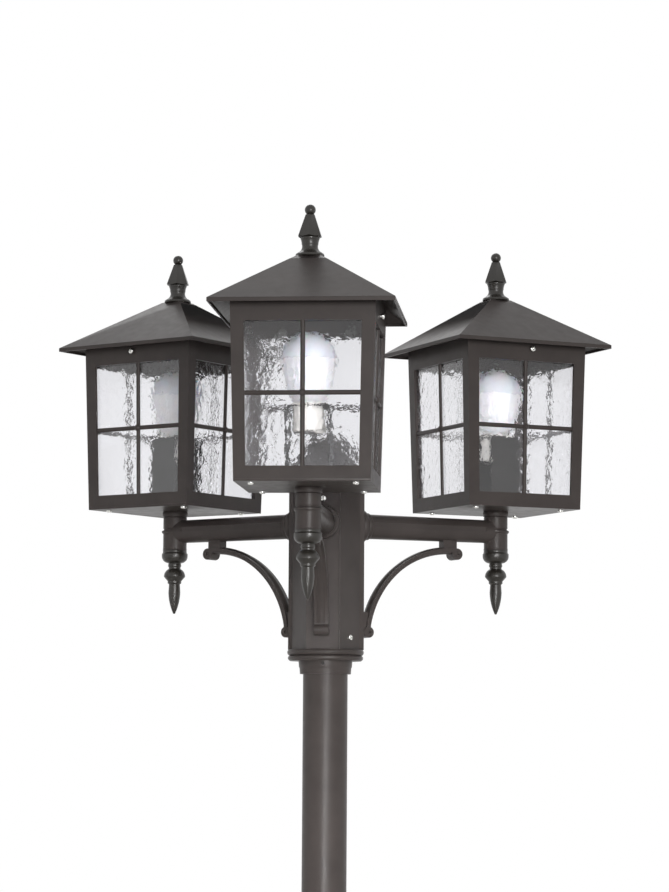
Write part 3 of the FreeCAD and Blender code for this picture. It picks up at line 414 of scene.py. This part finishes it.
def lantern_axis(arm):
    """A lantern's axis, from the bulb's round dome, and its arm's turn about the post."""
    low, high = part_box(arm + "_bulb_dome")
    centre = (low + high) / 2
    return Vector((centre.x, centre.y, 0)), math.radians(ARMS[arm])


# ---- water glass --------------------------------------------------------------------------------
def pane_tree():
    """Geometry nodes for one pane: a fine closed slab whose two faces ripple."""
    tree = bpy.data.node_groups.new("rippled_pane", "GeometryNodeTree")
    face = tree.interface
    face.new_socket("Geometry", in_out="OUTPUT", socket_type="NodeSocketGeometry")
    for name, default in (("Half low", 0.0758), ("Half high", 0.0787), ("Height", 0.191),
                          ("Thickness", 0.003), ("Ripple size", 0.017), ("Ripple depth", 0.0009),
                          ("Step", 0.0019), ("Seed", 0.0)):
        socket = face.new_socket(name, in_out="INPUT", socket_type="NodeSocketFloat")
        socket.default_value = default
    face.new_socket("Material", in_out="INPUT", socket_type="NodeSocketMaterial")
    given = add(tree, "NodeGroupInput").outputs

    def maths(operation, first, second=0.0):
        return add(tree, "ShaderNodeMath", {0: first, 1: second}, operation=operation).outputs[0]

    across = maths("ADD", maths("DIVIDE", maths("MULTIPLY", given["Half high"], 2.0),
                                given["Step"]), 2.0)
    upward = maths("ADD", maths("DIVIDE", given["Height"], given["Step"]), 2.0)
    size = add(tree, "ShaderNodeCombineXYZ", {"X": maths("MULTIPLY", given["Half high"], 2.0),
                                              "Y": given["Thickness"], "Z": given["Height"]})
    slab = add(tree, "GeometryNodeMeshCube", {"Size": size.outputs[0], "Vertices X": across,
                                              "Vertices Y": 2, "Vertices Z": upward})
    here = add(tree, "ShaderNodeSeparateXYZ",
               {"Vector": add(tree, "GeometryNodeInputPosition").outputs[0]}).outputs
    rise = maths("ADD", maths("DIVIDE", here["Z"], given["Height"]), 0.5)
    ratio = maths("DIVIDE", given["Half low"], given["Half high"])
    narrow = maths("ADD", ratio, maths("MULTIPLY", rise, maths("SUBTRACT", 1.0, ratio)))
    back = maths("GREATER_THAN", here["Y"], 0.0)
    shifted = add(tree, "ShaderNodeCombineXYZ", {
        "X": maths("ADD", here["X"], maths("MULTIPLY", given["Seed"], 0.37)),
        "Y": maths("ADD", maths("MULTIPLY", back, 0.6), given["Seed"]),
        "Z": maths("MULTIPLY", here["Z"], 0.8)})
    ripple = add(tree, "ShaderNodeTexNoise", {
        "Vector": shifted.outputs[0], "Scale": maths("DIVIDE", 1.0, given["Ripple size"]),
        "Detail": 1.5, "Roughness": 0.5, "Distortion": 0.5})
    depth = maths("MULTIPLY", ripple.outputs["Fac"], given["Ripple depth"])
    inward = maths("SUBTRACT", 1.0, maths("MULTIPLY", back, 2.0))
    place = add(tree, "ShaderNodeCombineXYZ", {
        "X": maths("MULTIPLY", here["X"], narrow),
        "Y": maths("ADD", here["Y"], maths("MULTIPLY", depth, inward)), "Z": here["Z"]})
    moved = add(tree, "GeometryNodeSetPosition", {"Geometry": slab.outputs["Mesh"],
                                                  "Position": place.outputs[0]})
    real = add(tree, "GeometryNodeRealizeInstances", {"Geometry": moved.outputs[0]})
    dressed = add(tree, "GeometryNodeSetMaterial", {"Geometry": real.outputs[0],
                                                    "Material": given["Material"]})
    add(tree, "NodeGroupOutput", {"Geometry": dressed.outputs[0]})
    return tree


def run_tree(tree, values, mesh=None):
    """Run a geometry tree on a mesh, or on nothing, and give the plain mesh it makes."""
    holder = bpy.data.objects.new("holder", mesh or bpy.data.meshes.new("holder"))
    bpy.context.scene.collection.objects.link(holder)
    modifier = holder.modifiers.new("tree", "NODES")
    modifier.node_group = tree
    for item in tree.interface.items_tree:
        if item.item_type == "SOCKET" and item.in_out == "INPUT" and item.name in values:
            modifier[item.identifier] = values[item.name]
    return applied(holder)


def stand_up(arm, side):
    """Where a piece drawn on an upright side goes: side counts quarter turns round the lantern."""
    axis, turn = lantern_axis(arm)
    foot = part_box(arm + "_lantern_frame")[0].z
    lean = math.atan((HALF_TOP - HALF_BOTTOM) / SIDE_HEIGHT)
    place = Matrix.Translation((0, -HALF_BOTTOM * MM, 0)) @ Matrix.Rotation(lean, 4, "X")
    about = Matrix.Rotation(turn + side * math.pi / 2, 4, "Z")
    return Matrix.Translation((axis.x, axis.y, foot)) @ about @ place


def joined(meshes, name):
    made = bmesh.new()
    for mesh in meshes:
        made.from_mesh(mesh)
        bpy.data.meshes.remove(mesh)
    whole = bpy.data.meshes.new(name)
    made.to_mesh(whole)
    made.free()
    return whole


class LAMPPOST_OT_glaze(bpy.types.Operator):
    """Four panes of rippled water glass in each lantern"""
    bl_idname = "lamppost.glaze"
    bl_label = "Glaze Lanterns"

    def execute(self, context):
        tree = pane_tree()
        height = WINDOW_HIGH - WINDOW_LOW + 2 * GLASS_LAP
        middle = (WINDOW_HIGH + WINDOW_LOW) / 2
        for number, arm in enumerate(ARMS):
            panes = []
            for side in range(4):
                pane = run_tree(tree, {
                    "Half low": GLASS_HALF_LOW * MM, "Half high": GLASS_HALF_HIGH * MM,
                    "Height": height * MM, "Thickness": GLASS_T * MM,
                    "Ripple size": sizes().ripple_size, "Ripple depth": sizes().ripple_depth,
                    "Step": sizes().glass_step, "Seed": 0.71 * (4 * number + side),
                    "Material": water_glass()})
                place = Matrix.Translation((0, (FRAME_T + GLASS_T / 2) * MM, middle * MM))
                pane.transform(stand_up(arm, side) @ place)
                panes.append(pane)
            keep_mesh(joined(panes, arm + "_panes"), arm + "_water_glass", water_glass(),
                      "root", [arm + "_glass_panes"], math.radians(60))
        return {"FINISHED"}


# ---- castings -----------------------------------------------------------------------------------
class LAMPPOST_OT_coat_castings(bpy.types.Operator):
    """Round the edges of the cast and folded pieces and powder coat them"""
    bl_idname = "lamppost.coat_castings"
    bl_label = "Coat Castings"

    def execute(self, context):
        for node in ("column", "column_cap", "collar", "post_base", "post_tube"):
            softened(node, powder_coat())
        for part in ("arm", "arm_rosette", "scroll_bracket", "base_tray", "lantern_frame"):
            softened_arms(part, powder_coat())
        softened_arms("drop_finial", cast_coat(), width=0.3 * MM)
        softened_arms("roof", powder_coat(), "roof")
        softened_arms("roof_finial", cast_coat(), "roof", 0.3 * MM)
        return {"FINISHED"}


# ---- lamps --------------------------------------------------------------------------------------
def lathe(profile, centre, segments=96, flutes=0, depth=0.0):
    """Turn an outline of (radius, height, share) about an upright axis, with optional flutes.

    It runs from the axis at the foot to the axis at the top, and share says how much of the
    flutes' depth a point takes.
    """
    made = bmesh.new()
    rings = []
    for radius, height, share in profile:
        if radius == 0:
            rings.append([made.verts.new((centre.x, centre.y, height))])
            continue
        ring = []
        for i in range(segments):
            angle = 2 * math.pi * i / segments
            wave = (0.5 - 0.5 * math.cos(flutes * angle)) ** 2 if flutes else 0.0
            here = radius - depth * share * wave
            ring.append(made.verts.new((centre.x + here * math.cos(angle),
                                        centre.y + here * math.sin(angle), height)))
        rings.append(ring)
    for low, high in zip(rings, rings[1:]):
        for i in range(segments):
            j = (i + 1) % segments
            corners = [low[i % len(low)], low[j % len(low)],
                       high[j % len(high)], high[i % len(high)]]
            made.faces.new(list(dict.fromkeys(corners)))
    bmesh.ops.recalc_face_normals(made, faces=made.faces)
    mesh = bpy.data.meshes.new("turned")
    made.to_mesh(mesh)
    made.free()
    return mesh


def housing_outline(foot, seam, wide):
    """A bulb's screw cap and tapered housing, from its foot to the seam under the dome."""
    top = foot + CAP_HIGH * MM
    outline = [(0, foot, 0), (CAP_FOOT_R * MM, foot, 0), (CAP_R * MM, foot + 4 * MM, 0)]
    for i in range(THREAD_TURNS):
        ridge = foot + (6 + THREAD_PITCH * i) * MM
        outline += [(CAP_R * MM, ridge, 0), (CAP_ROOT_R * MM, ridge + THREAD_PITCH / 2 * MM, 0)]
    outline += [(CAP_R * MM, top - 1 * MM, 0), (CAP_R * MM, top, 0), (17 * MM, top + 1 * MM, 0),
                (22 * MM, top + 5 * MM, 0.2), (25.5 * MM, top + 9 * MM, 0.6)]
    start = top + 10 * MM
    for i in range(HOUSING_STEPS + 1):
        t = i / HOUSING_STEPS
        gain = wide - 0.8 * MM - HOUSING_FOOT_R * MM
        radius = HOUSING_FOOT_R * MM + gain * (1.15 * t - 0.15 * t * t)
        outline.append((min(radius, wide - 0.6 * MM), start + (seam - 2 * MM - start) * t,
                        1.0 - 0.9 * t ** 4))
    edge = wide - 0.5 * MM
    return outline + [(edge, seam - 1.2 * MM, 0), (edge, seam, 0), (0, seam, 0)]


def dome_outline(seam, wide):
    """A bulb's round cover, from the seam up."""
    outline = [(0, seam, 0), (wide - 1.2 * MM, seam, 0), (wide, seam + 0.6 * MM, 0)]
    for i in range(1, DOME_STEPS):
        angle = math.pi / 2 * i / DOME_STEPS
        outline.append((wide * math.cos(angle), seam + wide * math.sin(angle), 0))
    return outline + [(0, seam + wide, 0)]


class LAMPPOST_OT_fit_lamps(bpy.types.Operator):
    """Bulbs with fluted housings and frosted domes, in porcelain holders on dark brackets"""
    bl_idname = "lamppost.fit_lamps"
    bl_label = "Fit Lamps"

    def execute(self, context):
        for arm in ARMS:
            axis, _ = lantern_axis(arm)
            body = arm + "_bulb"
            low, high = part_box(arm + "_bulb_body")
            dome_low, dome_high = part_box(arm + "_bulb_dome")
            wide = (dome_high.x - dome_low.x) / 2
            keep_mesh(lathe(housing_outline(low.z, high.z, wide), axis, 160, sizes().flutes,
                            FLUTE_DEPTH * MM),
                      arm + "_bulb_housing", bulb_housing(), body, [arm + "_bulb_body"],
                      math.radians(40))
            keep_mesh(lathe(dome_outline(high.z, wide), axis), arm + "_bulb_cover", bulb_cover(),
                      body, [arm + "_bulb_dome"], math.radians(40))
        softened_arms("lamp_holder", porcelain(), width=0.6 * MM)
        softened_arms("lamp_bracket", dark_steel(), width=0.2 * MM)
        return {"FINISHED"}


# ---- fasteners ----------------------------------------------------------------------------------
def screw_head(radius, height):
    """A domed pan head with a cross recess, seat at z = 0, for the screw tree to place."""
    segments = 40
    profile = [(1.0, 0.0), (1.0, 0.35), (0.97, 0.55), (0.9, 0.72), (0.78, 0.86), (0.66, 0.93),
               (0.54, 0.97), (0.42, 0.99), (0.31, 1.0), (0.2, 1.0), (0.1, 1.0)]
    made = bmesh.new()
    rings = []
    for share, rise in profile:
        ring = []
        for i in range(segments):
            angle = 2 * math.pi * i / segments
            x, y = share * math.cos(angle), share * math.sin(angle)
            across = min(abs(x), abs(y)) < 0.12 and max(abs(x), abs(y)) < 0.56
            sink = 0.55 * (1 - max(abs(x), abs(y)) * 0.9) if across and rise > 0.9 else 0.0
            ring.append(made.verts.new((radius * x, radius * y, height * (rise - sink))))
        rings.append(ring)
    tip = made.verts.new((0, 0, height * 0.42))
    foot = made.verts.new((0, 0, 0))
    for low, high in zip(rings, rings[1:]):
        for i in range(segments):
            j = (i + 1) % segments
            made.faces.new((low[i], low[j], high[j], high[i]))
    for i in range(segments):
        j = (i + 1) % segments
        made.faces.new((rings[-1][i], rings[-1][j], tip))
        made.faces.new((rings[0][j], rings[0][i], foot))
    mesh = bpy.data.meshes.new("screw_head")
    made.to_mesh(mesh)
    made.free()
    holder = bpy.data.objects.new("screw_head", mesh)
    bpy.context.scene.collection.objects.link(holder)
    return holder


def screw_tree():
    """Geometry nodes that set a head on a shank at each point, facing the way it carries."""
    tree = bpy.data.node_groups.new("screws_in_place", "GeometryNodeTree")
    face = tree.interface
    face.new_socket("Geometry", in_out="OUTPUT", socket_type="NodeSocketGeometry")
    face.new_socket("Geometry", in_out="INPUT", socket_type="NodeSocketGeometry")
    face.new_socket("Head", in_out="INPUT", socket_type="NodeSocketObject")
    for name, default in (("Shank radius", 0.002), ("Shank length", 0.008)):
        socket = face.new_socket(name, in_out="INPUT", socket_type="NodeSocketFloat")
        socket.default_value = default
    face.new_socket("Material", in_out="INPUT", socket_type="NodeSocketMaterial")
    given = add(tree, "NodeGroupInput").outputs
    way = add(tree, "GeometryNodeInputNamedAttribute", {"Name": "way"}, data_type="FLOAT_VECTOR")
    facing = add(tree, "FunctionNodeAlignRotationToVector", {"Vector": way.outputs[0]}, axis="Z")
    head = add(tree, "GeometryNodeObjectInfo", {"Object": given["Head"]})
    shank = add(tree, "GeometryNodeMeshCylinder", {
        "Vertices": 20, "Radius": given["Shank radius"], "Depth": given["Shank length"]})
    half = add(tree, "ShaderNodeMath", {0: given["Shank length"], 1: -0.5}, operation="MULTIPLY")
    drop = add(tree, "ShaderNodeCombineXYZ", {"Z": half.outputs[0]})
    shank = add(tree, "GeometryNodeTransform", {"Geometry": shank.outputs["Mesh"],
                                                "Translation": drop.outputs[0]})
    screw = add(tree, "GeometryNodeJoinGeometry")
    tree.links.new(head.outputs["Geometry"], screw.inputs[0])
    tree.links.new(shank.outputs["Geometry"], screw.inputs[0])
    placed = add(tree, "GeometryNodeInstanceOnPoints", {
        "Points": given["Geometry"], "Instance": screw.outputs[0], "Rotation": facing.outputs[0]})
    real = add(tree, "GeometryNodeRealizeInstances", {"Geometry": placed.outputs[0]})
    dressed = add(tree, "GeometryNodeSetMaterial", {"Geometry": real.outputs[0],
                                                    "Material": given["Material"]})
    add(tree, "NodeGroupOutput", {"Geometry": dressed.outputs[0]})
    return tree


def islands(node):
    """The corner points of each separate solid in a CAD node."""
    made = bmesh.new()
    made.from_mesh(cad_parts[node].data)
    bmesh.ops.remove_doubles(made, verts=made.verts, dist=WELD)
    left = dict.fromkeys(made.verts)        # keeps the mesh's order, the same in every run
    groups = []
    while left:
        group, edge = [], [left.popitem()[0]]
        while edge:
            vert = edge.pop()
            group.append(vert.co.copy())
            for link in vert.link_edges:
                other = link.other_vert(vert)
                if other in left:
                    del left[other]
                    edge.append(other)
        groups.append(group)
    made.free()
    return groups


def span(points, way):
    reach = [point.dot(way) for point in points]
    return min(reach), max(reach)


def side_facing(point):
    """The outward direction of the lantern side nearest to a point."""
    arm = min(ARMS, key=lambda name: (lantern_axis(name)[0] - Vector((point.x, point.y, 0))).length)
    axis, turn = lantern_axis(arm)
    sides = [Vector((math.cos(turn + k * math.pi / 2), math.sin(turn + k * math.pi / 2), 0))
             for k in range(4)]
    return max(sides, key=lambda side: side.dot(Vector((point.x, point.y, 0)) - axis))


def from_post(point):
    return Vector((point.x, point.y, 0)).normalized()


def placed_screws(node, way_at, tree, head, height):
    """Screws where the CAD ones are: each head's seat lies its height under the solid's end."""
    spots, ways, lengths = [], [], []
    for points in islands(node):
        middle = sum(points, Vector()) / len(points)
        way = way_at(middle)
        side = way.orthogonal().normalized()
        other = way.cross(side)
        low, high = span(points, way)
        spot = sum((axis * sum(span(points, axis)) / 2 for axis in (side, other)), Vector())
        spots.append(spot + way * (high - height))
        ways.append(way)
        lengths.append(high - height - low)
    places = bpy.data.meshes.new("spots")
    places.from_pydata(spots, [], [])
    field = places.attributes.new("way", "FLOAT_VECTOR", "POINT")
    for item, way in zip(field.data, ways):
        item.vector = way
    mesh = run_tree(tree, {"Head": head, "Shank radius": SCREW_SHANK_R * MM,
                           "Shank length": min(lengths), "Material": bright_steel()}, places)
    return keep_mesh(mesh, node + "_driven", bright_steel(), "root", [node],
                     math.radians(35))


class LAMPPOST_OT_drive_screws(bpy.types.Operator):
    """Pan-head screws with cross recesses, set where the frame has its screws"""
    bl_idname = "lamppost.drive_screws"
    bl_label = "Drive Screws"

    def execute(self, context):
        height = SCREW_HEAD_HIGH * MM
        head = screw_head(SCREW_HEAD_R * MM, height)
        tree = screw_tree()
        for node, way_at in (("tray_screws", lambda point: Vector((0, 0, -1))),
                             ("bracket_screws", lambda point: Vector((0, 0, 1))),
                             ("roof_screws", side_facing), ("column_screws", from_post)):
            placed_screws(node, way_at, tree, head, height)
        bpy.data.objects.remove(head)
        return {"FINISHED"}


class LAMPPOST_OT_fit_hardware(bpy.types.Operator):
    """Nuts, nipples, set screws, glass clips and the connector strip"""
    bl_idname = "lamppost.fit_hardware"
    bl_label = "Fit Hardware"

    def execute(self, context):
        for node in ("stem_nuts", "stem_nipples", "arm_nuts"):
            softened(node, bright_steel(), 0.2 * MM)
        for node in ("base_set_screws", "collar_set_screws"):
            softened(node, dark_steel(), 0.2 * MM)
        softened("terminal_block", porcelain(), 0.4 * MM)
        softened_arms("pane_clips", spring_steel(), width=0.1 * MM)
        softened_arms("finial_nut", bright_steel(), "roof", 0.3 * MM)
        return {"FINISHED"}


# ---- stage --------------------------------------------------------------------------------------
def when_seen(tree, unseen, seen):
    """One value for rays that show a surface, by eye, mirror or glass, and another for the rest."""
    path = add(tree, "ShaderNodeLightPath").outputs
    shown = path["Is Camera Ray"]
    for name in ("Is Transmission Ray", "Is Glossy Ray"):
        shown = add(tree, "ShaderNodeMath", {0: shown, 1: path[name]},
                    operation="MAXIMUM").outputs[0]
    return add(tree, "ShaderNodeMapRange", {"Value": shown, "To Min": unseen, "To Max": seen})


def studio_world(diffuse_level):
    """A white surround for the eye, metal and glass, and a softer one for the light it gives."""
    world = bpy.data.worlds.new("studio")
    bpy.context.scene.world = world
    world.use_nodes = True
    tree = world.node_tree
    tree.nodes.clear()
    strength = when_seen(tree, diffuse_level, 1.0)
    glow = add(tree, "ShaderNodeBackground", {"Color": (1, 1, 1, 1),
                                              "Strength": strength.outputs[0]})
    add(tree, "ShaderNodeOutputWorld", {"Surface": glow.outputs[0]})


def soft_box(name, place, target, size, watts, spread=180):
    """A square area lamp aimed at a point; spread is its beam in degrees."""
    lamp = bpy.data.lights.new(name, "AREA")
    lamp.shape = "SQUARE"
    lamp.size = size
    lamp.energy = watts
    lamp.spread = math.radians(spread)
    holder = bpy.data.objects.new(name, lamp)
    bpy.context.scene.collection.objects.link(holder)
    holder.location = place
    holder.rotation_euler = (Vector(target) - Vector(place)).to_track_quat("-Z", "Y").to_euler()


class LAMPPOST_OT_set_stage(bpy.types.Operator):
    """Pale floor, soft studio light and the camera"""
    bl_idname = "lamppost.set_stage"
    bl_label = "Set Stage"

    def execute(self, context):
        scene = context.scene
        scene.view_settings.view_transform = "Standard"
        mesh = bpy.data.meshes.new("floor")
        half = FLOOR_HALF
        mesh.from_pydata([(-half, -half, 0), (half, -half, 0), (half, half, 0), (-half, half, 0)],
                         [], [(0, 1, 2, 3)])
        made, tree = start_material("painted_studio_floor")
        tone = patches(tree, 0.4, 0.98, 1.02)
        colour = shade_by(tree, linear(colours().floor), tone.outputs[0])
        finish_shader(tree, add(tree, "ShaderNodeBsdfPrincipled", {
            "Base Color": colour.outputs[0], "Roughness": 0.8,
            "Emission Color": linear(colours().floor),
            "Emission Strength": when_seen(tree, 0.0, 0.4).outputs[0]}))
        mesh.materials.append(made)
        floor = bpy.data.objects.new("floor", mesh)
        scene.collection.objects.link(floor)

        studio_world(0.2)
        soft_box("key", (1.1, -3.6, 2.1), (0, 0, 1.85), 0.9, 64)
        soft_box("low", (0.3, -3.4, 0.9), (0, 0, 1.25), 0.5, 1.4, 22)
        soft_box("fill", (-3.0, -1.6, 2.4), (0, 0, 1.8), 1.6, 3)
        soft_box("back", (-0.6, 2.8, 4.6), (0, 0, 1.6), 1.4, 14)

        lens = bpy.data.cameras.new("camera")
        lens.lens = CAMERA_LENS
        lens.sensor_width = 36.0
        lens.sensor_fit = "AUTO"
        lens.clip_end = 100.0
        camera = bpy.data.objects.new("camera", lens)
        scene.collection.objects.link(camera)
        forward = Vector((-math.sin(CAMERA_YAW) * math.cos(CAMERA_PITCH),
                          math.cos(CAMERA_YAW) * math.cos(CAMERA_PITCH), math.sin(CAMERA_PITCH)))
        level = Vector((math.cos(CAMERA_YAW), math.sin(CAMERA_YAW), 0))
        upward = level.cross(forward)
        right = math.cos(CAMERA_ROLL) * level + math.sin(CAMERA_ROLL) * upward
        up = -math.sin(CAMERA_ROLL) * level + math.cos(CAMERA_ROLL) * upward
        turn = Matrix((right, up, -forward)).transposed().to_4x4()
        camera.matrix_world = Matrix.Translation(CAMERA_PLACE) @ turn
        scene.camera = camera
        return {"FINISHED"}


class LAMPPOST_PT_panel(bpy.types.Panel):
    """Lamp post's steps and sizes"""
    bl_label = "Lamp Post"
    bl_idname = "LAMPPOST_PT_panel"
    bl_space_type = "VIEW_3D"
    bl_region_type = "UI"
    bl_category = "Lamp Post"

    def draw(self, context):
        for step in STEPS:
            self.layout.operator(step.bl_idname)
        for group in (context.scene.lamp_sizes, context.scene.lamp_colours):
            for name in group.__annotations__:
                self.layout.prop(group, name)


STEPS = (LAMPPOST_OT_set_stage, LAMPPOST_OT_coat_castings, LAMPPOST_OT_glaze,
         LAMPPOST_OT_fit_lamps, LAMPPOST_OT_drive_screws, LAMPPOST_OT_fit_hardware)
CLASSES = (LampSizes, LampColours) + STEPS + (LAMPPOST_PT_panel,)


def register():
    for made in CLASSES:
        bpy.utils.register_class(made)
    bpy.types.Scene.lamp_sizes = PointerProperty(type=LampSizes)
    bpy.types.Scene.lamp_colours = PointerProperty(type=LampColours)


def unregister():
    del bpy.types.Scene.lamp_sizes
    del bpy.types.Scene.lamp_colours
    for made in reversed(CLASSES):
        bpy.utils.unregister_class(made)


def main():
    register()
    bpy.ops.lamppost.set_stage()
    bpy.ops.lamppost.coat_castings()
    bpy.ops.lamppost.glaze()
    bpy.ops.lamppost.fit_lamps()
    bpy.ops.lamppost.drive_screws()
    bpy.ops.lamppost.fit_hardware()


if __name__ == "__main__":
    main()
